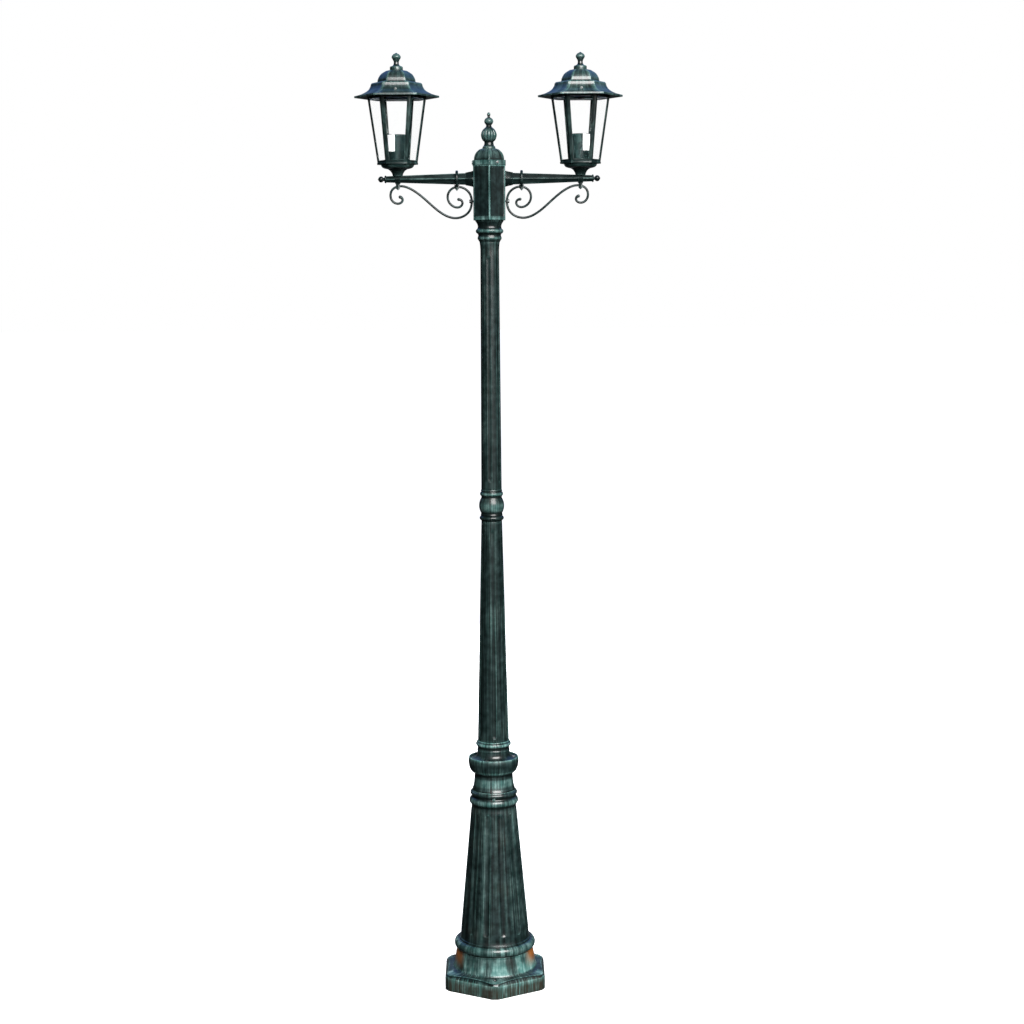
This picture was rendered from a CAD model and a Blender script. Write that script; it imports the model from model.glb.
import math

import bmesh
import bpy
import numpy as np
from mathutils import Matrix, Vector


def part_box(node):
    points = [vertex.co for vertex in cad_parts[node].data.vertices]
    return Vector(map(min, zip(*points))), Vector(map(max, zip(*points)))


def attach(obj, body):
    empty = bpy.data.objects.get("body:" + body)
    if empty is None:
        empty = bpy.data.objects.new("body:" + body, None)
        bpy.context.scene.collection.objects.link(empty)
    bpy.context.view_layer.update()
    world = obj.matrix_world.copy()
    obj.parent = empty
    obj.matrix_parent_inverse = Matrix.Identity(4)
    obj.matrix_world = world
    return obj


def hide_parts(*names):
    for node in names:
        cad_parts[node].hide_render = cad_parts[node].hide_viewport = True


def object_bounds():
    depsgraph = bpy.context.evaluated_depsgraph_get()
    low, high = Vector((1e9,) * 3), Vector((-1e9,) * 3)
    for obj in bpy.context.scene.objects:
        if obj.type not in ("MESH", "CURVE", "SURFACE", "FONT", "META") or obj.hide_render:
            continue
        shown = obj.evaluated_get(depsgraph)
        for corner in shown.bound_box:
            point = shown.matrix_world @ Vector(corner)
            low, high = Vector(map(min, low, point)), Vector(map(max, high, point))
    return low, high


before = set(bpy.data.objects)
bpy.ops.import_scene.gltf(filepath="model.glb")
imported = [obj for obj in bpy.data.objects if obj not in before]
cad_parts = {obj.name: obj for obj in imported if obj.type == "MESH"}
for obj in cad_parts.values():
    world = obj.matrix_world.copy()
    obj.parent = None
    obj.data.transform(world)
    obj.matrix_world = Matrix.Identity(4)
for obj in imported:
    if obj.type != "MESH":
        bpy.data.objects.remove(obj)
CAD_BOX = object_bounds()

# Outlines are in millimetres, as (distance from the piece's axis, height above its start).
MM = 0.001
SIDES = 6
HALF_SIDE = math.tan(math.radians(30))   # half a side over the distance to the flat
CORNER = 1 / math.cos(math.radians(30))  # corner distance over flat distance
STEP = 1.6                               # spacing of the points along a curved outline
LINE_STEP = 1.5                          # spacing of the points along a bent bar
PROUD_REACH = 6.0                        # how far along its outline a point is compared with it
PROUD_FULL = 1.6                         # a point this far out of its outline is fully raised
WELD = 1e-6                              # metres between vertices that are merged
SHARP = math.radians(38)                 # edges sharper than this stay sharp
PLAIN_RAISED = 0.12                      # raised value all over a bevelled copy
ANCHOR_CIRCLE = 121.0                    # the anchor holes' distance from the axis
ANCHOR_RADIUS = 4.5
ANCHOR_TURNS = (-90, 30, 150)            # degrees


# ---- places, read from the frame ----
def low(node):
    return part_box(node)[0] / MM


def high(node):
    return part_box(node)[1] / MM


HEIGHT = CAD_BOX[1][2] / MM
COLUMN_FOOT = high("base_foot").z
COLUMN_TOP = high("base_column").z
CUP_FLOOR = low("pole_socket").z
POLE_FOOT = low("lower_pole").z
POLE_JOINT = high("lower_pole").z
UPPER_FOOT = low("upper_pole").z
NECK_FOOT = high("upper_pole").z
HUB_FOOT = low("hub_box").z
HUB_RIM = high("hub_box").z
HUB_TOP = HUB_RIM - 10.0                 # the cap's band hides the rim
HUB_FLAT = high("hub_box").x
CAP_FLAT = high("hub_cap").x
CAP_TOP = high("hub_cap").z
LANTERN_X = (low("right_bowl").x + high("right_bowl").x) / 2
ARM_ROOT = low("right_arm").x
PLATE_LOW = low("right_floor_plate").z
ROOF_TOP = high("right_roof").z
FOOT_FLAT = high("base_foot").x
FOOT_TIP = high("base_foot").y


# ---- outlines ----
def arc_points(start, middle, end):
    """Points of the circular arc through three points, without its start."""
    a, b, c = (np.array(p, float) for p in (start, middle, end))
    u, v = b - a, c - a
    cross = u[0] * v[1] - u[1] * v[0]
    if abs(cross) < 1e-9:
        return [tuple(c)]
    uu, vv = u @ u, v @ v
    centre = a + np.array([v[1] * uu - u[1] * vv, u[0] * vv - v[0] * uu]) / (2 * cross)
    radius = np.linalg.norm(a - centre)
    first = math.atan2(*(a - centre)[::-1])
    last = math.atan2(*(c - centre)[::-1])
    sweep = (last - first) % (2 * math.pi)
    if cross < 0:
        sweep -= 2 * math.pi
    count = max(4, int(abs(sweep) * radius / STEP))
    angles = [first + sweep * k / count for k in range(1, count + 1)]
    return [(centre[0] + radius * math.cos(t), centre[1] + radius * math.sin(t)) for t in angles]


def curve_points(points):
    """Points of a smooth curve through all the given ones, without the first."""
    pts = [np.array(p, float) for p in points]
    pts = [2 * pts[0] - pts[1]] + pts + [2 * pts[-1] - pts[-2]]
    out = []
    for a, b, c, d in zip(pts, pts[1:], pts[2:], pts[3:]):
        count = max(3, int(np.linalg.norm(c - b) / STEP))
        for k in range(1, count + 1):
            t = k / count
            out.append(tuple(0.5 * (2 * b + (c - a) * t + (2 * a - 5 * b + 4 * c - d) * t * t
                                    + (3 * b - a - 3 * c + d) * t ** 3)))
    return out


def trace(start, *moves, soften=0.5):
    """A closed outline: (r, z) is a line, ((r, z), (r, z)) an arc, a list a curve. Corners are rounded."""
    runs = []
    here = start
    for move in list(moves) + [start]:
        if isinstance(move, list):
            run = curve_points([here] + move)
        elif isinstance(move[0], tuple):
            run = arc_points(here, *move)
        else:
            run = [move] if math.dist(move, here) > 1e-6 else []
        if run:
            runs.append([here] + run)
            here = run[-1]
    out = []
    for run, following in zip(runs, runs[1:] + runs[:1]):
        out.extend(run[1:-1])
        corner = np.array(run[-1])
        before = corner - np.array(run[-2])
        after = np.array(following[1]) - corner
        size = min(soften, 0.45 * np.linalg.norm(before), 0.45 * np.linalg.norm(after))
        before, after = before / np.linalg.norm(before), after / np.linalg.norm(after)
        on_axis = corner[0] < 1e-6
        if on_axis or before @ after > 0.985 or size < 0.02:
            out.append(tuple(corner))
            continue
        first, last = corner - before * size, corner + after * size
        for t in (0, 0.33, 0.67, 1):
            out.append(tuple((1 - t) ** 2 * first + 2 * t * (1 - t) * corner + t * t * last))
    return densify(out)


def densify(points, longest=12.0):
    """Splits long straight stretches."""
    out = []
    for a, b in zip(points, points[1:] + points[:1]):
        out.append(a)
        count = int(math.dist(a, b) / longest)
        for k in range(1, count + 1):
            t = k / (count + 1)
            out.append((a[0] + (b[0] - a[0]) * t, a[1] + (b[1] - a[1]) * t))
    return out


def proudness(points):
    """-1 to 1 for each outline point: how far it stands out of the outline around it, or is sunk in it."""
    pts = np.array(points)
    count = len(pts)
    gaps = np.linalg.norm(np.roll(pts, -1, 0) - pts, axis=1)
    along = np.concatenate([[0], np.cumsum(gaps)])[:-1]
    total = gaps.sum()
    result = np.zeros(count)
    weight = (gaps + np.roll(gaps, 1)) / 2
    for k in range(count):
        offset = (along - along[k] + total / 2) % total - total / 2
        share = weight * np.exp(-(offset / PROUD_REACH) ** 2)
        mean = (pts * share[:, None]).sum(0) / share.sum()
        tangent = np.roll(pts, -1, 0)[k] - np.roll(pts, 1, 0)[k]
        outward = np.array([tangent[1], -tangent[0]]) / max(np.linalg.norm(tangent), 1e-9)
        result[k] = (pts[k] - mean) @ outward
    return np.clip(result / PROUD_FULL, -1, 1)


# ---- meshes ----
def piece(name, verts, faces, raised=None):
    """A smooth-shaded mesh in metres from points in millimetres, with its `raised` attribute."""
    mesh = bpy.data.meshes.new(name)
    mesh.from_pydata([tuple(Vector(v) * MM) for v in verts], [], faces)
    attribute = mesh.attributes.new("raised", "FLOAT", "POINT")
    if raised is not None:
        attribute.data.foreach_set("value", np.array(raised, np.float32))
    work = bmesh.new()
    work.from_mesh(mesh)
    bmesh.ops.remove_doubles(work, verts=work.verts, dist=WELD)
    bmesh.ops.dissolve_degenerate(work, edges=work.edges, dist=WELD)
    bmesh.ops.recalc_face_normals(work, faces=work.faces)
    work.to_mesh(mesh)
    work.free()
    mesh.shade_smooth()
    mesh.set_sharp_from_angle(angle=SHARP)
    obj = bpy.data.objects.new(name, mesh)
    bpy.context.scene.collection.objects.link(obj)
    return obj


def rings(name, ring_points, ring_raised, close=True):
    """A mesh over rows of points; every row is a closed ring, and the rows close on each other too."""
    rows, columns = len(ring_points), len(ring_points[0])
    verts = [p for row in ring_points for p in row]
    faces = []
    for j in range(rows if close else rows - 1):
        below, above = j * columns, ((j + 1) % rows) * columns
        for k in range(columns):
            after = (k + 1) % columns
            faces.append((below + k, below + after, above + after, above + k))
    return piece(name, verts, faces, [v for row in ring_raised for v in row])


def lathe(name, outline, start_z, x=0.0, around=96, shape=None):
    """Turns an outline about the vertical axis at x. shape(angle, r, z) returns (pull inwards, raised)."""
    proud = proudness(outline)
    points, raised = [], []
    for (r, z), here in zip(outline, proud):
        row, row_raised = [], []
        for k in range(around):
            angle = 2 * math.pi * k / around
            pull, extra = shape(angle, r, z) if shape else (0.0, 0.0)
            reach = r - pull
            row.append((x + reach * math.cos(angle), reach * math.sin(angle), start_z + z))
            row_raised.append(min(1.0, here + extra))
        points.append(row)
        raised.append(row_raised)
    return rings(name, points, raised)


def six_sided(name, outline, start_z, x=0.0, turn=0.0, corner=0.9, columns=9, press=None, ridge=0.8):
    """A six-sided solid; the outline is (distance to the flat, height). press(along, half, r, z) returns
    how deep a flat is sunk there, and what to add to its raised value."""
    proud = proudness(outline)
    bends = 4
    points, raised = [], []
    for (r, z), here in zip(outline, proud):
        size = min(corner, 0.5 * r)
        half = (r - size) * HALF_SIDE
        row, row_raised = [], []
        for side in range(SIDES):
            facing = math.radians(turn + 60 * side)
            out = Vector((math.cos(facing), math.sin(facing), 0))
            along = Vector((-math.sin(facing), math.cos(facing), 0))
            for k in range(columns):
                t = 2 * k / (columns - 1) - 1
                sunk, extra = press(t * half, half, r, z) if press else (0.0, 0.0)
                spot = out * (r - sunk) + along * (t * half)
                row.append((x + spot.x, spot.y, start_z + z))
                row_raised.append(max(here, ridge) if k in (0, columns - 1) else here + extra)
            centre = Vector((math.cos(facing + math.pi / 6), math.sin(facing + math.pi / 6), 0)) * (
                (r - size) * CORNER)
            for k in range(1, bends):
                bend = facing + math.radians(60 * k / bends)
                spot = centre + Vector((math.cos(bend), math.sin(bend), 0)) * size
                row.append((x + spot.x, spot.y, start_z + z))
                row_raised.append(max(here, ridge))
        points.append(row)
        raised.append(row_raised)
    return rings(name, points, raised)


def smooth_line(points):
    """Evenly smooth 3-D points of a cubic B-spline with the given control points, ends included."""
    pts = [np.array(p, float) for p in points]
    pts = [2 * pts[0] - pts[1]] + pts + [2 * pts[-1] - pts[-2]]
    out = []
    for a, b, c, d in zip(pts, pts[1:], pts[2:], pts[3:]):
        count = max(2, int(np.linalg.norm(c - b) / LINE_STEP))
        for k in range(count):
            t = k / count
            out.append(((1 - t) ** 3 * a + (3 * t ** 3 - 6 * t * t + 4) * b
                        + (-3 * t ** 3 + 3 * t * t + 3 * t + 1) * c + t ** 3 * d) / 6)
    out.append(np.array(points[-1], float))
    return out


def fluted(count, first_turn, foot, head, groove, depth):
    """A shape for lathe(): flutes with round ends between two (r, z) points."""
    middle = groove - depth

    def shape(angle, r, z):
        surface = foot[0] + (head[0] - foot[0]) * (z - foot[1]) / (head[1] - foot[1])
        if r < surface - 2.5:
            return 0.0, 0.0
        local = (math.degrees(angle) + 90 - first_turn) % (360 / count)
        local = min(local, 360 / count - local)
        across = math.radians(local) * r
        past = max(foot[1] - z, z - head[1], 0.0)
        off = math.hypot(across, past)
        sink = math.sqrt(max(groove ** 2 - off ** 2, 0.0)) - middle
        width = math.sqrt(groove ** 2 - middle ** 2)
        rim = math.exp(-((off - width) / 1.1) ** 2)
        bed = math.exp(-(off / (0.7 * width)) ** 4)
        inside_z = foot[1] - groove < z < head[1] + groove
        return max(sink, 0.0), (0.42 * rim - 0.30 * bed) * inside_z

    return shape


# ---- materials ----
def new_material(name):
    material = bpy.data.materials.new(name)
    material.use_nodes = True
    tree = material.node_tree
    tree.nodes.clear()
    output = tree.nodes.new("ShaderNodeOutputMaterial")
    shader = tree.nodes.new("ShaderNodeBsdfPrincipled")
    tree.links.new(shader.outputs["BSDF"], output.inputs["Surface"])
    return material, tree, shader


def add(tree, kind, settings=None, **inputs):
    """A node whose inputs, by name or as in_0, in_1 ..., are values or sockets."""
    node = tree.nodes.new("ShaderNode" + kind)
    for key, value in (settings or {}).items():
        setattr(node, key, value)
    for key, value in inputs.items():
        socket = node.inputs[int(key[3:])] if key.startswith("in_") else node.inputs[key.replace("_", " ")]
        if isinstance(value, bpy.types.NodeSocket):
            tree.links.new(value, socket)
        else:
            socket.default_value = value
    return node


def maths(tree, operation, a, b=0.0, c=0.0, clamp=False):
    return add(tree, "Math", {"operation": operation, "use_clamp": clamp}, in_0=a, in_1=b, in_2=c).outputs[0]


def average(tree, a, b):
    return maths(tree, "MULTIPLY_ADD", a, 0.5, maths(tree, "MULTIPLY", b, 0.5))


def noise(tree, vector, scale, detail=3.0, roughness=0.55):
    node = add(tree, "TexNoise", None, Vector=vector, Scale=scale, Detail=detail, Roughness=roughness)
    return node.outputs[0]


def remap(tree, value, from_low, from_high, to_low=0.0, to_high=1.0):
    return add(tree, "MapRange", {"clamp": True, "interpolation_type": "SMOOTHSTEP"}, Value=value,
               From_Min=from_low, From_Max=from_high, To_Min=to_low, To_Max=to_high).outputs[0]


def blend_colour(tree, factor, first, second):
    node = add(tree, "Mix", {"data_type": "RGBA"}, in_0=factor)
    for index, value in ((6, first), (7, second)):
        if isinstance(value, bpy.types.NodeSocket):
            tree.links.new(value, node.inputs[index])
        else:
            node.inputs[index].default_value = (*value, 1.0)
    return node.outputs[2]


def streak_vector(tree, place, axis_x, turns, rise):
    """Coordinates that stretch a noise into brush strokes down a round or six-sided piece."""
    flat = add(tree, "VectorMath", {"operation": "MULTIPLY_ADD"}, in_0=place, in_1=(1, 1, 0),
               in_2=(-axis_x * MM, 0, 0)).outputs[0]
    facing = add(tree, "VectorMath", {"operation": "NORMALIZE"}, in_0=flat).outputs[0]
    wide = add(tree, "VectorMath", {"operation": "SCALE"}, in_0=facing, Scale=turns).outputs[0]
    return add(tree, "VectorMath", {"operation": "MULTIPLY_ADD"}, in_0=place, in_1=(0, 0, rise),
               in_2=wide).outputs[0]


DARK_PAINT = (0.011, 0.025, 0.026)
DEEP_PAINT = (0.003, 0.006, 0.006)
BROWN_PAINT = (0.017, 0.012, 0.009)
BARE_BROWN = (0.052, 0.044, 0.030)
VERDIGRIS = (0.075, 0.215, 0.200)
PALE_VERDIGRIS = (0.30, 0.51, 0.48)
RUST = (0.50, 0.17, 0.035)


def antique_paint(name, axis_x=0.0, turns=8.0, rise=7.0, body=0.3, edges=0.9, deep=0.0, shine=1.0,
                  along_arm=False, foot=False):
    """Dark glossy paint with verdigris brushed over what stands proud, darker in the hollows.

    turns and rise set how fine the strokes are around and along a piece, body and edges how much verdigris
    lies on its surfaces and edges, deep how dark the bare paint is, and shine its gloss."""
    material, tree, shader = new_material(name)
    place = add(tree, "TexCoord").outputs["Object"]
    sideways, _, height = add(tree, "SeparateXYZ", None, in_0=place).outputs
    if along_arm:
        stretch = (12, 130, 130)             # strokes run along X
        brushed = add(tree, "VectorMath", {"operation": "MULTIPLY"}, in_0=place, in_1=stretch).outputs[0]
        fine = brushed
    else:
        brushed = streak_vector(tree, place, axis_x, turns, rise)
        fine = streak_vector(tree, place, axis_x, turns * 3.4, rise * 1.6)
    broad = noise(tree, brushed, 1.0, 3.0, 0.6)
    thin = noise(tree, fine, 1.0, 4.0, 0.6)
    patch = noise(tree, place, 13.0, 3.0)
    cloud = noise(tree, place, 60.0, 4.0, 0.6)
    grain = noise(tree, place, 620.0, 3.0, 0.6)
    raised = add(tree, "Attribute", {"attribute_name": "raised"}).outputs["Fac"]
    normal = add(tree, "NewGeometry").outputs["Normal"]
    rounded = add(tree, "Bevel", {"samples": 3}, Radius=0.0018).outputs[0]
    facing = add(tree, "VectorMath", {"operation": "DOT_PRODUCT"}, in_0=rounded, in_1=normal).outputs["Value"]
    edge = remap(tree, facing, 0.99, 0.90, 0.0, 0.5)

    strokes = remap(tree, average(tree, broad, thin), 0.42, 0.60)
    worn = maths(tree, "MAXIMUM", remap(tree, raised, 0.08, 0.9, 0.0, edges), edge)
    proud = maths(tree, "MULTIPLY", worn, maths(tree, "MULTIPLY_ADD", strokes, 0.65, 0.35))
    wash = maths(tree, "MULTIPLY", remap(tree, patch, 0.40, 0.70, 0.25, 1.0), strokes)
    if foot:
        on_bell = remap(tree, height, 43 * MM, 50 * MM)
        low_bell = remap(tree, height, 80 * MM, 54 * MM, 0.5, 1.0)
        on_plate = remap(tree, height, 34 * MM, 40 * MM, 0.6, 0.2)
        amount = maths(tree, "MULTIPLY", low_bell, maths(tree, "MULTIPLY_ADD", on_bell, 0.95, on_plate))
        narrow = noise(tree, streak_vector(tree, place, 0.0, 34.0, 7.0), 1.0, 4.0, 0.65)
        rim_streaks = remap(tree, narrow, 0.47, 0.64)
        wide = noise(tree, streak_vector(tree, place, 0.0, 3.4, 14.0), 1.0, 2.0, 0.5)
        blotches = maths(tree, "MULTIPLY_ADD", strokes, 0.30, remap(tree, wide, 0.40, 0.58, 0.02, 0.85))
        bell_streaks = maths(tree, "ADD", blotches, 0.06)
        mixed = add(tree, "Mix", None, in_0=on_bell, in_2=rim_streaks, in_3=bell_streaks).outputs[0]
        wash = maths(tree, "MULTIPLY", mixed, amount)
    else:
        wash = maths(tree, "MULTIPLY", wash, body)
    green = maths(tree, "ADD", proud, wash, clamp=True)
    hollow = remap(tree, raised, -0.05, -0.6)
    green = maths(tree, "MULTIPLY", green, maths(tree, "MULTIPLY_ADD", hollow, -0.8, 1.0))
    green = maths(tree, "MULTIPLY", green, remap(tree, height, 0.4, 2.0, 1.0, 0.58))

    base = blend_colour(tree, remap(tree, cloud, 0.35, 0.7), DEEP_PAINT, DARK_PAINT)
    base = blend_colour(tree, remap(tree, patch, 0.5, 0.75, 0.0, 0.6), base, BROWN_PAINT)
    base = blend_colour(tree, hollow, base, DEEP_PAINT)
    base = blend_colour(tree, deep, base, DEEP_PAINT)
    if foot:
        bare = remap(tree, height, 36 * MM, 32 * MM, 0.0, 0.65)
        base = blend_colour(tree, bare, base, BARE_BROWN)
    pale = remap(tree, average(tree, cloud, thin), 0.42, 0.66)
    tone = blend_colour(tree, pale, VERDIGRIS, PALE_VERDIGRIS)
    colour = blend_colour(tree, green, base, tone)
    if foot:
        band = remap(tree, height, 46 * MM, 88 * MM)
        side = remap(tree, maths(tree, "ABSOLUTE", sideways), 72 * MM, 96 * MM)
        stain = maths(tree, "MULTIPLY", band, side)
        stain = maths(tree, "MULTIPLY", stain, remap(tree, thin, 0.3, 0.5, 0.5, 1.0))
        colour = blend_colour(tree, stain, colour, RUST)
    tree.links.new(colour, shader.inputs["Base Color"])

    rough = maths(tree, "MULTIPLY_ADD", cloud, 0.16, 0.22)
    rough = maths(tree, "ADD", rough, maths(tree, "MULTIPLY", green, 0.10))
    tree.links.new(rough, shader.inputs["Roughness"])
    relief = maths(tree, "MULTIPLY_ADD", thin, 0.8, maths(tree, "MULTIPLY", grain, 0.3))
    bump = add(tree, "Bump", None, Strength=0.14, Distance=0.0005, Height=relief)
    tree.links.new(bump.outputs[0], shader.inputs["Normal"])
    shader.inputs["IOR"].default_value = 1.5
    shader.inputs["Specular IOR Level"].default_value = 0.5 * shine
    shader.inputs["Coat Weight"].default_value = 0.4 * shine
    shader.inputs["Coat Roughness"].default_value = 0.12
    return material


def plain_material(name, colour, second, roughness, metallic=0.0, scale=60.0, bump=0.15, shine=1.0):
    """A solid finish with mottling, uneven gloss and a fine grain."""
    material, tree, shader = new_material(name)
    place = add(tree, "TexCoord").outputs["Object"]
    mottle = noise(tree, place, scale, 4.0, 0.6)
    grain = noise(tree, place, scale * 14, 3.0, 0.6)
    mixed = blend_colour(tree, remap(tree, mottle, 0.3, 0.7), colour, second)
    tree.links.new(mixed, shader.inputs["Base Color"])
    rough = remap(tree, mottle, 0.25, 0.75, roughness * 0.8, roughness * 1.2)
    tree.links.new(rough, shader.inputs["Roughness"])
    relief = add(tree, "Bump", None, Strength=bump, Distance=0.0003, Height=grain)
    tree.links.new(relief.outputs[0], shader.inputs["Normal"])
    shader.inputs["Metallic"].default_value = metallic
    shader.inputs["Specular IOR Level"].default_value = 0.5 * shine
    return material


def glass_material():
    """Clear thin panes with faint dust towards their edges."""
    material, tree, shader = new_material("clear_glass")
    place = add(tree, "TexCoord").outputs["Object"]
    dust = noise(tree, place, 30.0, 4.0, 0.6)
    tree.links.new(remap(tree, dust, 0.45, 0.8, 0.01, 0.06), shader.inputs["Roughness"])
    shader.inputs["Base Color"].default_value = (0.996, 0.999, 0.998, 1.0)
    shader.inputs["Transmission Weight"].default_value = 1.0
    shader.inputs["IOR"].default_value = 1.06
    return material


SIDE_WORDS = ((-1, "left"), (1, "right"))


def lantern_paint(side, word):
    """Paint whose strokes run about a lantern's own axis."""
    return antique_paint(f"paint_{word}_lantern", axis_x=side * LANTERN_X, turns=14.0, rise=5.0, body=0.75,
                         edges=0.5)


PAINT_POST = antique_paint("paint_post", body=0.34, edges=1.0)
PAINT_COLUMN = antique_paint("paint_column", turns=9.0, rise=2.4, body=0.30, edges=1.0)
PAINT_POLE = antique_paint("paint_pole", turns=8.0, rise=3.0, body=0.28, edges=0.9, deep=0.45, shine=0.65)
PAINT_HUB = antique_paint("paint_hub", body=0.12, edges=0.85, deep=0.4, shine=0.45)
PAINT_CAP = antique_paint("paint_cap", turns=6.0, rise=7.0, body=0.45, edges=0.7, deep=0.3, shine=0.6)
PAINT_FRAME = antique_paint("paint_frame", turns=14.0, rise=5.0, body=0.25, edges=0.45, deep=0.6, shine=0.4)
PAINT_FOOT = antique_paint("paint_foot", turns=9.0, rise=9.0, foot=True)
PAINT_LANTERN = {word: lantern_paint(side, word) for side, word in SIDE_WORDS}
PAINT_ARM = antique_paint("paint_arm", body=0.08, edges=0.40, deep=0.85, shine=0.4, along_arm=True)
GLASS = glass_material()
BLACK_PLASTIC = plain_material("black_plastic", (0.006, 0.015, 0.015), (0.012, 0.026, 0.025), 0.5, bump=0.05,
                               shine=0.2)
CERAMIC = plain_material("white_ceramic", (0.72, 0.70, 0.64), (0.80, 0.78, 0.73), 0.35)
BRASS = plain_material("brass", (0.72, 0.50, 0.20), (0.60, 0.40, 0.16), 0.32, metallic=1.0)
ZINC = plain_material("zinc_steel", (0.40, 0.41, 0.41), (0.28, 0.29, 0.29), 0.38, metallic=1.0, scale=140.0)
DULL_ZINC = plain_material("dull_zinc", (0.12, 0.13, 0.13), (0.06, 0.07, 0.07), 0.45, metallic=1.0,
                           scale=140.0)
LABEL = plain_material("white_label", (0.92, 0.93, 0.93), (0.86, 0.87, 0.87), 0.6)
RUBBER = plain_material("black_rubber", (0.02, 0.02, 0.02), (0.03, 0.03, 0.03), 0.85)
LEAD = plain_material("grey_lead", (0.45, 0.46, 0.46), (0.38, 0.39, 0.39), 0.55)
TERMINAL = plain_material("terminal_plastic", (0.72, 0.72, 0.66), (0.66, 0.66, 0.60), 0.5)


def finish_piece(obj, material, body, *nodes, slot="antique_green"):
    """Dresses a new piece, rides it on a body, and says which CAD nodes it stands for."""
    obj.data.materials.clear()
    obj.data.materials.append(material)
    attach(obj, body)
    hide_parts(*nodes)
    return obj


def dress(node, material):
    """Gives a carried-over CAD node its material."""
    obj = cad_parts[node]
    if not obj.material_slots:
        obj.data.materials.append(material)
    for slot in obj.material_slots:
        slot.material = material
    obj.data.shade_smooth()


def make_bevelled(node, bevel, material):
    """Puts a copy of a flat-sided CAD node in its place, with its triangles merged and its edges rounded."""
    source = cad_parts[node]
    work = bmesh.new()
    work.from_mesh(source.data)
    bmesh.ops.remove_doubles(work, verts=work.verts, dist=WELD)
    bmesh.ops.dissolve_limit(work, angle_limit=math.radians(0.6), verts=work.verts, edges=work.edges)
    mesh = bpy.data.meshes.new(f"{node}_cast")
    work.to_mesh(mesh)
    work.free()
    attribute = mesh.attributes.new("raised", "FLOAT", "POINT")
    attribute.data.foreach_set("value", np.full(len(mesh.vertices), PLAIN_RAISED, np.float32))
    obj = bpy.data.objects.new(f"{node}_cast", mesh)
    bpy.context.scene.collection.objects.link(obj)
    rounding = obj.modifiers.new("rounding", "BEVEL")
    rounding.width = bevel * MM
    rounding.segments = 2
    rounding.limit_method = "ANGLE"
    rounding.angle_limit = math.radians(28)
    rounding.harden_normals = True
    mesh.shade_smooth()
    return finish_piece(obj, material, "post", node)


# ---- base ----
def foot_reach(angle, inset=0.0):
    """Distance from the axis to the foot's outline, moved in by an inset: six flats with blunted corners."""
    flat = abs((math.degrees(angle) + 30) % 60 - 30)
    blunt = 30 - flat
    return min((FOOT_FLAT - inset) / math.cos(math.radians(flat)),
               (FOOT_TIP - 1.08 * inset) / math.cos(math.radians(blunt)))


# Height of the foot's rim by the distance in from its flats, and from its blunted corners.
FLAT_RIM = ((0, 30.0), (0.3, 31.3), (1.0, 33.0), (2.3, 35.6), (4.0, 38.3), (5.5, 40.2), (6.5, 41.0),
            (7.5, 41.4), (18.5, 44.0))
TIP_RIM = ((0, 33.0), (0.3, 34.0), (2.0, 36.8), (5.0, 39.8), (7.0, 41.0), (8.5, 41.4), (24.0, 44.0))


def foot_height(angle, reach):
    """Height of the plate's top: the lower of the two rims that a spot lies on."""
    flat = abs((math.degrees(angle) + 30) % 60 - 30)
    from_flat = FOOT_FLAT - reach * math.cos(math.radians(flat))
    from_tip = FOOT_TIP - reach * math.cos(math.radians(30 - flat))
    return min(np.interp(from_flat, *zip(*FLAT_RIM)), np.interp(from_tip, *zip(*TIP_RIM)))


def foot_mark(angle, inset):
    """Raised value of the foot's top: a bright line in from a dark one, both dipping at the corners."""
    blunt = 30 - abs((math.degrees(angle) + 30) % 60 - 30)
    line = 2.5 + 4.0 * math.sin(math.radians(3 * blunt))
    bright = 1.1 * math.exp(-((inset - line - 1.7) / 0.9) ** 2)
    rim = 0.7 * math.exp(-((inset - 0.5) / 0.8) ** 2)
    leaf = 0.7 * math.exp(-(blunt / 9) ** 2) * (inset > line)
    return max(bright, rim, leaf, 0.08) - 1.3 * math.exp(-((inset - line) / 0.8) ** 2)


def cut(obj, cutters):
    """Takes solids out of a piece for good."""
    for cutter in cutters:
        modifier = obj.modifiers.new("cut", "BOOLEAN")
        modifier.operation = "DIFFERENCE"
        modifier.solver = "EXACT"
        modifier.object = cutter
    bpy.context.view_layer.update()
    result = bpy.data.meshes.new_from_object(obj.evaluated_get(bpy.context.evaluated_depsgraph_get()))
    obj.modifiers.clear()
    obj.data = result
    for cutter in cutters:
        bpy.data.objects.remove(cutter)


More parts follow.
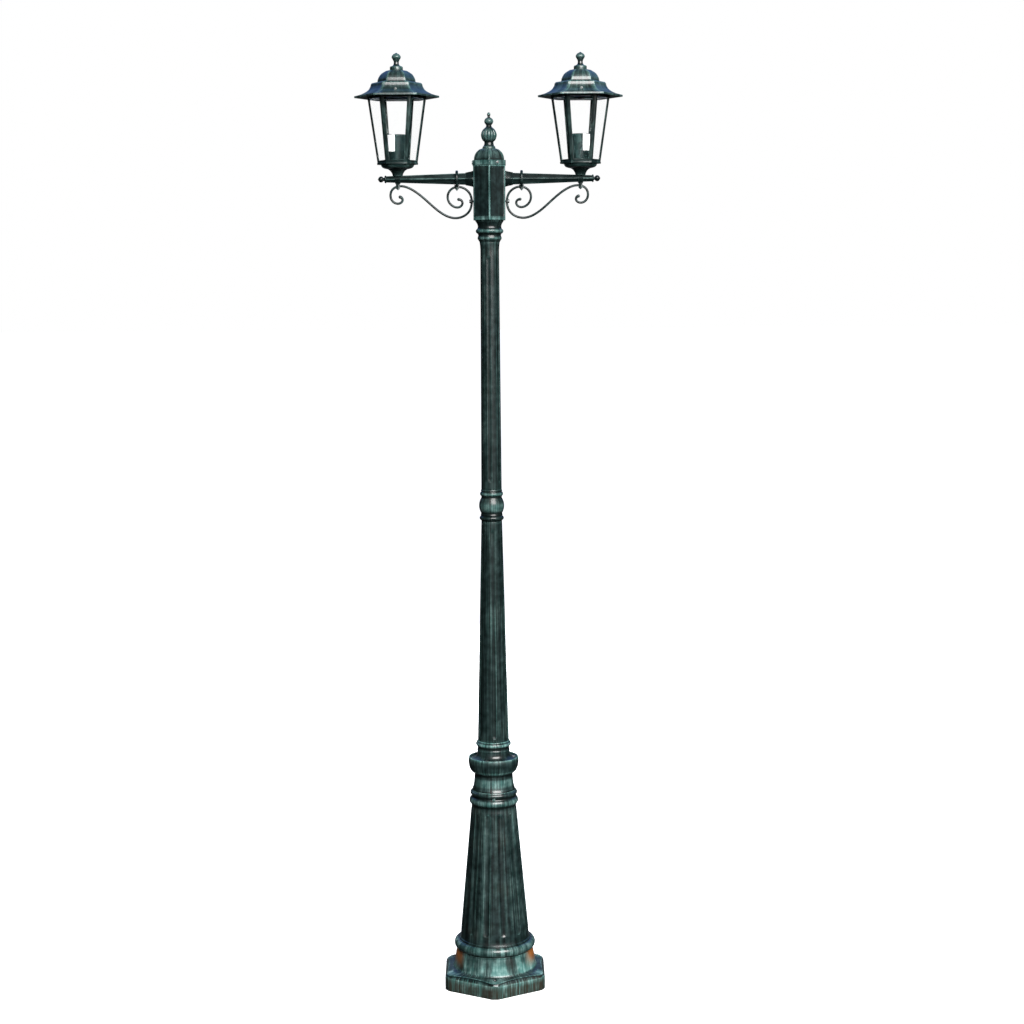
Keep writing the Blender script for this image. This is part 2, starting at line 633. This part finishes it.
def make_foot():
    """Six-sided plate with a rounded bevel, the bell on it, and three anchor holes."""
    top = low("base_column").z - 41.0
    bell = trace(
        (97.0, 0.0), (97.0, 38.0), [(93.0, 60.0), (89.0, 79.0)], (62.0, 79.0), (62.0, 85.0), (84.2, 85.0),
        (84.2, COLUMN_FOOT), (95.5, COLUMN_FOOT), (95.5, 86.0),
        [(97.3, 79.0), (98.9, 70.5), (100.6, 60.0), (102.6, 49.5), (104.0, 46.0), (105.6, top)],
        (106.0, top))
    on_plate = [k for k, (r, z) in enumerate(bell) if z > top - 0.5 and r > 105]
    bell = bell[:on_plate[-1] + 1]           # the plate takes over where the bell meets it
    insets = [17.6 - 0.8 * k for k in range(14)] + [6.0, 5.2, 4.4, 3.6, 2.9, 2.3, 1.7, 1.0, 0.5, 0.2, 0.0]
    around = 360
    proud = proudness(bell)
    points, raised = [], []
    for k in range(around):
        angle = 2 * math.pi * k / around
        reach = foot_reach(angle)
        edge = foot_height(angle, reach)
        rim = []
        for inset in insets:
            spot = foot_reach(angle, inset)
            rim.append((spot, foot_height(angle, spot)))
        rim += [(reach, edge - 2.0), (reach, edge * 0.66), (reach, edge * 0.33), (reach, 1.6),
                (reach - 0.5, 0.4), (reach - 1.4, 0.0), ((reach + 97.0) / 2, 0.0)]
        marks = [foot_mark(angle, inset) for inset in insets] + [0.5, 0.12, 0.12, 0.2, 0.3, 0.0, 0.0]
        points.append([(r * math.cos(angle), r * math.sin(angle), z) for r, z in bell + rim])
        raised.append(list(proud * 0.8) + marks)
    rows = [list(row) for row in zip(*points)]
    foot = rings("foot", rows, [list(row) for row in zip(*raised)])
    holes = []
    for degrees in ANCHOR_TURNS:
        angle = math.radians(degrees)
        bar = trace((0, -5), (ANCHOR_RADIUS, -5), (ANCHOR_RADIUS, 60), (0, 60), soften=0)
        hole = lathe("hole", bar, 0, around=40)
        hole.location = (ANCHOR_CIRCLE * MM * math.cos(angle), ANCHOR_CIRCLE * MM * math.sin(angle), 0)
        holes.append(hole)
    cut(foot, holes)
    return finish_piece(foot, PAINT_FOOT, "post", "base_foot")


def make_column():
    outline = trace(
        (62, 0), (90.5, 0), ((101.4, 12), (90.5, 24)), (88, 24), ((88.8, 26), (86.8, 28)),
        [(85.4, 34), (84.5, 50)], (56.9, 355.5), [(55.9, 361), (55.6, 366)], (55.9, 369.5),
        ((61.0, 379), (55.9, 388)), (54.9, 389.5), (54.9, 393), ((58.6, 398.5), (54.6, 404)), (54.0, 406),
        (47.2, 406), (47.2, 364), (49.4, 358), (76, 27), (76.5, 6), (62, 6))
    flutes = fluted(12, 15.0, (83.3, 56), (58.0, 343.5), 12.2, 3.0)

    def shape(angle, r, z):
        """The flutes, and the small upper roll kept dark."""
        pull, extra = flutes(angle, r, z)
        return pull, extra - 0.9 * math.exp(-((z - 398) / 6) ** 4)
    shown = lathe("column", densify(outline, 5.0), COLUMN_FOOT, around=240, shape=shape)
    return finish_piece(shown, PAINT_COLUMN, "post", "base_column")


def make_cup():
    outline = trace(
        (40, 0), (54.0, 0), (53.0, 3), [(51.0, 8), (49.2, 18), (48.0, 31)], (47.5, 40), (48.6, 43),
        [(52.0, 45), (56.6, 49.5), (60.2, 57), (61.8, 66)], ((62.6, 75), (61.4, 82)),
        ((60.2, 83.4), (59, 82)), (58.4, 73), (24, 73), (24, 55), (36, 35), (40, 11), soften=0.3)

    def brushed(angle, r, z):
        """Paint rubbed on the neck and along the bottom of the bowl."""
        neck = 0.55 * math.exp(-((z - 22) / 13) ** 4)
        bowl = 0.7 * math.exp(-((z - 47.5) / 4) ** 2)
        return 0.0, neck + bowl - 0.9 * (z < 4)
    shown = lathe("cup", outline, COLUMN_TOP, around=128, shape=brushed)
    return finish_piece(shown, PAINT_POST, "post", "base_cup")


# ---- pole ----
def plain_ends(flutes, foot, head):
    """Flutes, with no paint rubbed on the ends that meet the next piece."""
    def shape(angle, r, z):
        pull, extra = flutes(angle, r, z)
        return pull, extra - 0.9 * (z < foot or z > head)
    return shape


def make_socket():
    outline = trace(
        (24, 0), (57.6, 0), (57.6, 5), (54, 6.5), [(46.5, 9.5), (41.2, 16), (39.8, 25)],
        ((40.4, 28), (39.4, 31)), (39.3, 37.2), (40.6, 38.2), ((43.6, 43.2), (40.6, 48.2)), (39.8, 49),
        ((40.6, 50.6), (39.2, 52)), (33.5, 52), (33.5, 92), (24, 92), soften=0.3)
    return finish_piece(lathe("pole_foot", outline, CUP_FLOOR, around=112), PAINT_POST, "post", "pole_socket")


def make_lower_pole():
    outline = trace((33.7, 0), (38.6, 0), (38.4, 9), (25.8, 539), (25.4, 549), (20.2, 549), (20.2, 478),
                    (32, 58), (33.7, 44))
    flutes = plain_ends(fluted(6, 4.0, (38.2, 15), (26.2, 523), 9.5, 2.0), 3, 546)
    shown = lathe("pole_lower", densify(outline, 4.0), POLE_FOOT, around=192, shape=flutes)
    return finish_piece(shown, PAINT_POLE, "post", "lower_pole")


def make_coupler():
    outline = trace(
        (12, 0), (25.4, 0), (26.0, 3), ((29.9, 8.3), (26.0, 13.6)), ((27.0, 15.8), (26.2, 18)), (25.8, 20.5),
        ((30.9, 38.5), (25.8, 57)), (25.2, 58.5), (25.2, 61.5), (25.8, 62.6), ((28.4, 67.7), (25.8, 72.8)),
        (25.3, 74), ((26.3, 76), (25.3, 78)), (25.1, 79), (12, 79), soften=0.3)

    def brushed(angle, r, z):
        """Paint rubbed on the top roll and low on the ball, and hardly any on the lower rolls."""
        return 0.0, 0.35 * math.exp(-((z - 34) / 12) ** 4) - 0.7 * (z < 21) - 0.7 * (z > 73.5)
    shown = lathe("coupler", outline, POLE_JOINT, around=96, shape=brushed)
    return finish_piece(shown, PAINT_POLE, "post", "mid_coupler")


def make_upper_pole():
    outline = trace((18.7, 0), (25.1, 0), (25.0, 12), (22.6, 581), (23.2, 591), (24.2, 600), (18.7, 600))
    flutes = plain_ends(fluted(6, -9.0, (25.0, 25), (22.7, 561), 8.6, 1.6), 4, 597)
    shown = lathe("pole_upper", densify(outline, 4.0), UPPER_FOOT, around=168, shape=flutes)
    return finish_piece(shown, PAINT_POLE, "post", "upper_pole")


# ---- hub ----
def make_neck():
    outline = trace(
        (12, 0), (24.2, 0), [(25.6, 3), (28.4, 7)], ((29.2, 10), (28.2, 13.5)), (27.4, 16), (28, 19.5),
        (30.2, 21.5), ((33.4, 27), (30.2, 32)), (29, 34), [(28.4, 38), (29.8, 44), (33.8, 50)],
        (34.6, 53), (12, 53))
    return finish_piece(lathe("neck", outline, NECK_FOOT, around=96), PAINT_POLE, "post", "hub_neck")


def make_hub():
    def sunk_panel(along, half, r, z):
        if r < HUB_FLAT - 1:
            return 0.0, 0.0
        border = half + 0.5 - abs(along)
        inside = min(max((border - 3.2) / 0.8, 0), 1) * min(max((z - 8) / 0.8, 0), 1) * (z < 127)
        return 0.8 * inside, 0.45 - 0.65 * inside
    outline = trace(                     # the close pairs on the flats are the panels' ends
        (16.2, 0), (HUB_FLAT, 0), (HUB_FLAT, 8), (HUB_FLAT, 9), (HUB_FLAT, 126.5), (HUB_FLAT, 127.5),
        (HUB_FLAT, 130), (36.5, 130), (36.5, 140), (34.5, 140), (34.5, 8), (16.2, 8))
    shown = six_sided("hub", densify(outline, 6.0), HUB_FOOT, columns=25, corner=1.6, press=sunk_panel,
                      ridge=1.0)
    return finish_piece(shown, PAINT_HUB, "post", "hub_box")


def make_cap():
    outline = trace(
        (34.3, -12), (34.3, 11), (36.8, 11), (36.8, 0), (39.2, 0), (CAP_FLAT, 0.8), (CAP_FLAT, 11.2),
        (39.2, 12), (36.3, 12), [(35.4, 20), (31.6, 29), (24, 37)], (17, 40), (4, 40), (4, 36), (15, 36),
        [(21, 34), (27.6, 27), (30.6, 20)], (31.6, 14), (31.6, -12))
    return finish_piece(six_sided("cap", outline, HUB_TOP, corner=1.2), PAINT_CAP, "hub_cover", "hub_cap")


def make_post_finial():
    def petals(angle, r, z):
        swell = math.exp(-((z - 33) / 11) ** 4)
        groove = abs(math.cos(6 * angle))
        return 2.0 * swell * (1 - groove) ** 2 * (r > 9), 0.45 * swell * groove * (r > 9)
    outline = trace(
        (0, -20), (3.9, -20), (3.9, 0), (15.8, 0), (15.4, 4), [(12.2, 8), (10.8, 14)], (11.6, 17), (14.6, 19),
        [(17.6, 25), (18.9, 34), (15, 44), (7.6, 51)], (6.2, 53.5), (6.4, 56),
        [(9.6, 60), (10.9, 65), (8.6, 70.5), (3.4, 74)], [(3, 76), (4.2, 81), (2.6, 85)], (0, 86), soften=0.3)
    shown = lathe("post_top", outline, CAP_TOP, around=144, shape=petals)
    return finish_piece(shown, PAINT_POLE, "hub_cover", "post_finial")


# ---- arms ----
ARM_END = 248.0                          # where the arm stops and its finial begins
ARM_CORNER = 1.0                         # radius of the arm's long edges
ARM_Z = (low("right_arm").z + high("right_arm").z) / 2


def arm_height(x):
    """Distance between the arm's flats at a distance from the post."""
    return 28.0 - (x - ARM_ROOT) * (28.0 - 14.6) / (ARM_END - ARM_ROOT)


def hex_bar(name, side, stations):
    """A closed six-sided bar along X; stations are (distance from the post, height between flats)."""
    bends, columns = 4, 5
    points, raised = [], []
    for x, flats in stations:
        r = flats / 2
        size = min(ARM_CORNER, 0.5 * r)
        half = (r - size) * HALF_SIDE
        row, row_raised = [], []
        for k in range(SIDES):
            facing = math.radians(90 + 60 * k)
            for c in range(columns):
                along = (2 * c / (columns - 1) - 1) * half
                y = r * math.cos(facing) - along * math.sin(facing)
                z = r * math.sin(facing) + along * math.cos(facing)
                row.append((side * x, y, ARM_Z + z))
                row_raised.append(0.75 if c in (0, columns - 1) else 0.0)
            for c in range(1, bends):
                bend = facing + math.radians(60 * c / bends)
                middle = facing + math.pi / 6
                y = (r - size) * CORNER * math.cos(middle) + size * math.cos(bend)
                z = (r - size) * CORNER * math.sin(middle) + size * math.sin(bend)
                row.append((side * x, y, ARM_Z + z))
                row_raised.append(0.85)
        points.append(row)
        raised.append(row_raised)
    middle_in = [(side * stations[0][0], 0, ARM_Z)] * len(points[0])
    middle_out = [(side * stations[-1][0], 0, ARM_Z)] * len(points[0])
    points = [middle_in] + points + [middle_out]
    raised = [[0.0] * len(middle_in)] + raised + [[0.0] * len(middle_out)]
    return rings(name, points, raised, close=False)


def make_arm(side, word):
    count = 24
    places = [ARM_ROOT + (ARM_END - ARM_ROOT) * k / count for k in range(count + 1)]
    stations = [(x, arm_height(x)) for x in places]
    arm = hex_bar(f"{word}_arm_bar", side, [(stations[0][0], stations[0][1] - 1.2)] + stations)
    return finish_piece(arm, PAINT_ARM, "post", f"{word}_arm")


def make_scroll(side, word):
    """The scrolled bar with swelled ends."""
    route = [
        (219, 1960), (211, 1959), (207.5, 1951), (214, 1943.5), (226, 1943), (236, 1951), (239, 1963),
        (236, 1975), (228, 1982.5), (217, 1985.5), (205, 1985), (190, 1979.5), (172, 1968), (154, 1953),
        (138, 1938), (121, 1923.5), (103, 1912.5), (86, 1907.5), (70, 1909), (55, 1916), (44.5, 1929),
        (41.3, 1948), (44.5, 1964), (53, 1975), (65, 1981.8), (78, 1983.5), (90, 1979.5), (98.5, 1970.5),
        (101.5, 1958), (98, 1945.5), (88.5, 1936), (76.5, 1932.5), (67, 1936.5), (63.5, 1945),
        (68, 1952.5), (78, 1953),
    ]
    line = smooth_line([(side * x, 0, z) for x, z in route])
    around = 16
    length = len(line)
    points, raised = [], []
    for k, centre in enumerate(line):
        tangent = line[min(k + 1, length - 1)] - line[max(k - 1, 0)]
        tangent = tangent / np.linalg.norm(tangent)
        inward = np.array([-tangent[2], 0, tangent[0]])
        start, end = k * LINE_STEP, (length - 1 - k) * LINE_STEP
        swell = 1.4 * math.exp(-(start / 9) ** 2) + 1.0 * math.exp(-(end / 7) ** 2)
        radius = 2.8 + swell
        dome = min(start, end)
        if dome < radius:
            radius = math.sqrt(max(radius ** 2 - (radius - dome) ** 2, 0.0)) if dome > 0 else 0.0
        row = []
        for c in range(around):
            angle = 2 * math.pi * c / around
            offset = inward * math.cos(angle) + np.array([0, 1, 0]) * math.sin(angle)
            row.append(tuple(centre + offset * radius))
        points.append(row)
        raised.append([0.3 + 0.2 * math.cos(2 * math.pi * c / around) for c in range(around)])
    scroll = rings(f"{word}_scroll_bar", points, raised, close=False)
    return finish_piece(scroll, PAINT_ARM, "post", f"{word}_scroll")


# ---- lanterns ----
def make_bowl(side, word):
    base = ARM_Z + arm_height(LANTERN_X) / 2
    outline = trace(
        (0, -0.6), (12.2, -0.6), (12.2, 2011 - base),
        [(14.0, 2016 - base), (17.8, 2021.5 - base), (23.5, 2025.5 - base)],
        (29.0, 2026.5 - base), [(35.0, 2028.5 - base), (38.6, 2032 - base), (40.0, PLATE_LOW - base)],
        (0, PLATE_LOW - base))
    shown = lathe(f"{word}_bowl_cast", outline, base, x=side * LANTERN_X, around=96)
    return finish_piece(shown, PAINT_FRAME, "post", f"{word}_bowl")


def make_roof(side, word):
    def eave(along, half, r, z):
        """The eave's lip and its underside keep their dark paint."""
        under = z + ROOF_TOP < np.interp(r, (57, 72, 80, 88), (2209, 2202, 2199.4, 2197.4))
        return 0.0, -0.8 * float(r > 80 or under)
    z = ROOF_TOP
    outer = [(57, 2205 - z), (63, 2205 - z), (70.5, 2201.2 - z), (84.5, 2194.6 - z), (88.3, 2194 - z),
             (88.3, 2198.4 - z), (80, 2200.6 - z),
             [(71.9, 2203.6 - z), (60.4, 2211 - z), (55.2, 2219 - z), (53.2, 2226.5 - z)],
             (50.6, 2229.2 - z), (41.2, 2230 - z), (39.8, 2231.5 - z),
             [(38.4, 2239 - z), (32.6, 2249.5 - z), (22.5, 2257.2 - z)],
             (20.4, 0), (0, 0), (0, 2254.2 - z), (20.4, 2254.2 - z),
             [(30.2, 2246.6 - z), (35.6, 2236.5 - z), (36.6, 2229.5 - z)], (38.6, 2227.2 - z),
             (48.4, 2226.4 - z), (50.2, 2225 - z), [(51.2, 2221 - z), (53.6, 2216 - z), (57, 2211 - z)]]
    shown = six_sided(f"{word}_roof_cast", trace(*outer), z, x=side * LANTERN_X, turn=30, corner=1.0,
                      press=eave, ridge=0.7)
    return finish_piece(shown, PAINT_LANTERN[word], f"{word}_roof_cover", f"{word}_roof")


def make_roof_finial(side, word):
    z = ROOF_TOP
    outline = trace(
        (0, -14), (3.9, -14), (3.9, 0), (15.6, 0), (15.6, 6.5), ((14.9, 9), (12.6, 10)),
        [(8.4, 12), (6.4, 15.5), (5.9, 20)], [(7.8, 25), (10.7, 30), (10.4, 34), (6.8, 38.6)],
        [(3.0, 40.4), (1.4, 41.6)], (0, HEIGHT - z), soften=0.3)
    shown = lathe(f"{word}_roof_top", outline, z, x=side * LANTERN_X, around=64)
    return finish_piece(shown, PAINT_LANTERN[word], f"{word}_roof_cover", f"{word}_roof_finial")


def make_lantern(side, word):
    make_bowl(side, word)
    make_bevelled(f"{word}_floor_plate", 0.8, PAINT_FRAME)
    make_bevelled(f"{word}_glass_frame", 0.45, PAINT_FRAME)
    make_roof(side, word)
    make_roof_finial(side, word)
    dress(f"{word}_glass_panes", GLASS)
    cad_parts[f"{word}_glass_panes"].visible_shadow = False
    dress(f"{word}_lampholder_shell", BLACK_PLASTIC)


make_foot()
make_column()
make_cup()
make_socket()
make_lower_pole()
make_coupler()
make_upper_pole()
make_neck()
make_hub()
make_cap()
make_post_finial()
for side, word in SIDE_WORDS:
    make_arm(side, word)
    make_scroll(side, word)
    make_lantern(side, word)
    for node in ("arm_socket", "outer_strap", "inner_strap"):
        make_bevelled(f"{word}_{node}", 0.5, PAINT_ARM)
    dress(f"{word}_lamp_lead", LEAD)
    dress(f"{word}_roof_screws", DULL_ZINC)
    dress(f"{word}_roof_finial_nut", ZINC)
dress("arm_finials", PAINT_ARM)
dress("column_set_screws", PAINT_POST)
for node in ("column_bolts", "socket_screws", "hub_locknut", "hub_cap_screws",
             "terminal_bracket", "arm_nuts", "nipples", "nipple_nuts", "post_finial_nut"):
    dress(node, ZINC)
dress("scroll_bolts", DULL_ZINC)
for node in ("screw_shells", "centre_contacts", "earth_screw"):
    dress(node, BRASS)
dress("lampholder_inserts", CERAMIC)
dress("lampholder_labels", LABEL)
dress("roof_gaskets", RUBBER)
dress("terminal_block", TERMINAL)


# ---- stage ----
CAMERA_PLACE = (0.0, -4.769, 1.770)
CAMERA_TURNS = (6.9, 0.6, 0.36)          # degrees down, to the right, and rolled
LENS = 68.7                              # mm on a 36 mm sensor
FLOOR_REACH = 60.0


def make_light(name, place, target, size, power, colour, mirrored=True):
    """An area light; one that isn't mirrored lights surfaces softly but shows in no reflection or glass."""
    data = bpy.data.lights.new(name, "AREA")
    data.shape = "RECTANGLE"
    data.size, data.size_y = size
    data.energy = power
    data.color = colour
    obj = bpy.data.objects.new(name, data)
    obj.location = place
    obj.rotation_euler = (Vector(target) - Vector(place)).to_track_quat("-Z", "Y").to_euler()
    obj.visible_glossy = mirrored
    obj.visible_transmission = mirrored
    bpy.context.scene.collection.objects.link(obj)


def first_look(tree):
    """1 for what the camera sees directly or through glass, 0 for light and reflections."""
    paths = add(tree, "LightPath").outputs
    seen = maths(tree, "MAXIMUM", paths["Is Camera Ray"], paths["Is Transmission Ray"])
    bounces = maths(tree, "ADD", paths["Glossy Depth"], paths["Diffuse Depth"])
    return maths(tree, "MULTIPLY", seen, maths(tree, "LESS_THAN", bounces, 0.5))


def make_floor():
    """A pale floor, bright enough to run into the white background; it throws no light on the post."""
    mesh = bpy.data.meshes.new("floor")
    corners = [(x * FLOOR_REACH, y * FLOOR_REACH, 0) for x, y in ((-1, -1), (1, -1), (1, 1), (-1, 1))]
    mesh.from_pydata(corners, [], [(0, 1, 2, 3)])
    material, tree, shader = new_material("floor")
    shader.inputs["Base Color"].default_value = (0.8, 0.8, 0.8, 1.0)
    shader.inputs["Roughness"].default_value = 0.9
    shader.inputs["Specular IOR Level"].default_value = 0.0
    shader.inputs["Emission Color"].default_value = (1.0, 1.0, 1.0, 1.0)
    tree.links.new(first_look(tree), shader.inputs["Emission Strength"])
    mesh.materials.append(material)
    obj = bpy.data.objects.new("floor", mesh)
    obj.visible_diffuse = False
    obj.visible_glossy = False
    bpy.context.scene.collection.objects.link(obj)


def make_world():
    """White to look at; the post sees a dim studio, pale in front, faint behind and blue high up behind."""
    world = bpy.data.worlds.new("studio")
    bpy.context.scene.world = world
    world.use_nodes = True
    tree = world.node_tree
    tree.nodes.clear()
    direction = add(tree, "TexCoord").outputs["Generated"]
    parts = add(tree, "SeparateXYZ", None, in_0=direction).outputs
    front = add(tree, "VectorMath", {"operation": "DOT_PRODUCT"}, in_0=direction, in_1=(0.26, -0.96, 0.05))
    ahead = remap(tree, front.outputs["Value"], 0.35, 0.97)
    lobe = maths(tree, "MULTIPLY", ahead, remap(tree, parts[2], -0.25, 0.0))
    room = blend_colour(tree, lobe, (0.013, 0.015, 0.015), (0.40, 0.42, 0.42))
    behind = maths(tree, "MULTIPLY", remap(tree, parts[1], 0.15, 0.6), remap(tree, parts[2], 0.20, 0.48))
    back = remap(tree, parts[1], 0.80, 0.98)
    room = blend_colour(tree, back, room, (0.11, 0.12, 0.13))
    room = blend_colour(tree, behind, room, (0.10, 0.21, 0.54))
    sky = blend_colour(tree, first_look(tree), room, (1.0, 1.0, 1.0))
    background = add(tree, "Background", None, Color=sky, Strength=1.0)
    output = tree.nodes.new("ShaderNodeOutputWorld")
    tree.links.new(background.outputs[0], output.inputs["Surface"])


def make_camera():
    """A standing person's view, from eye height and looking slightly down."""
    data = bpy.data.cameras.new("camera")
    data.sensor_width = 36.0
    data.lens = LENS
    down, yaw, roll = (math.radians(degrees) for degrees in CAMERA_TURNS)
    forward = Vector((math.sin(yaw) * math.cos(down), math.cos(yaw) * math.cos(down), -math.sin(down)))
    right = forward.cross(Vector((0, 0, 1))).normalized()
    up = right.cross(forward)
    right, up = right * math.cos(roll) - up * math.sin(roll), up * math.cos(roll) + right * math.sin(roll)
    matrix = Matrix((right, up, -forward)).transposed().to_4x4()
    matrix.translation = CAMERA_PLACE
    obj = bpy.data.objects.new("camera", data)
    obj.matrix_world = matrix
    bpy.context.scene.collection.objects.link(obj)
    bpy.context.scene.camera = obj


make_floor()
make_world()
make_light("key", (1.5, -4.2, 4.1), (0, 0, 1.8), (4.0, 3.8), 660, (1.0, 0.97, 0.96))
make_light("back", (-1.4, 4.4, 1.9), (0, 0, 1.2), (3.4, 2.8), 300, (0.94, 0.98, 1.0), mirrored=False)
make_camera()
bpy.context.scene.view_settings.view_transform = "Standard"
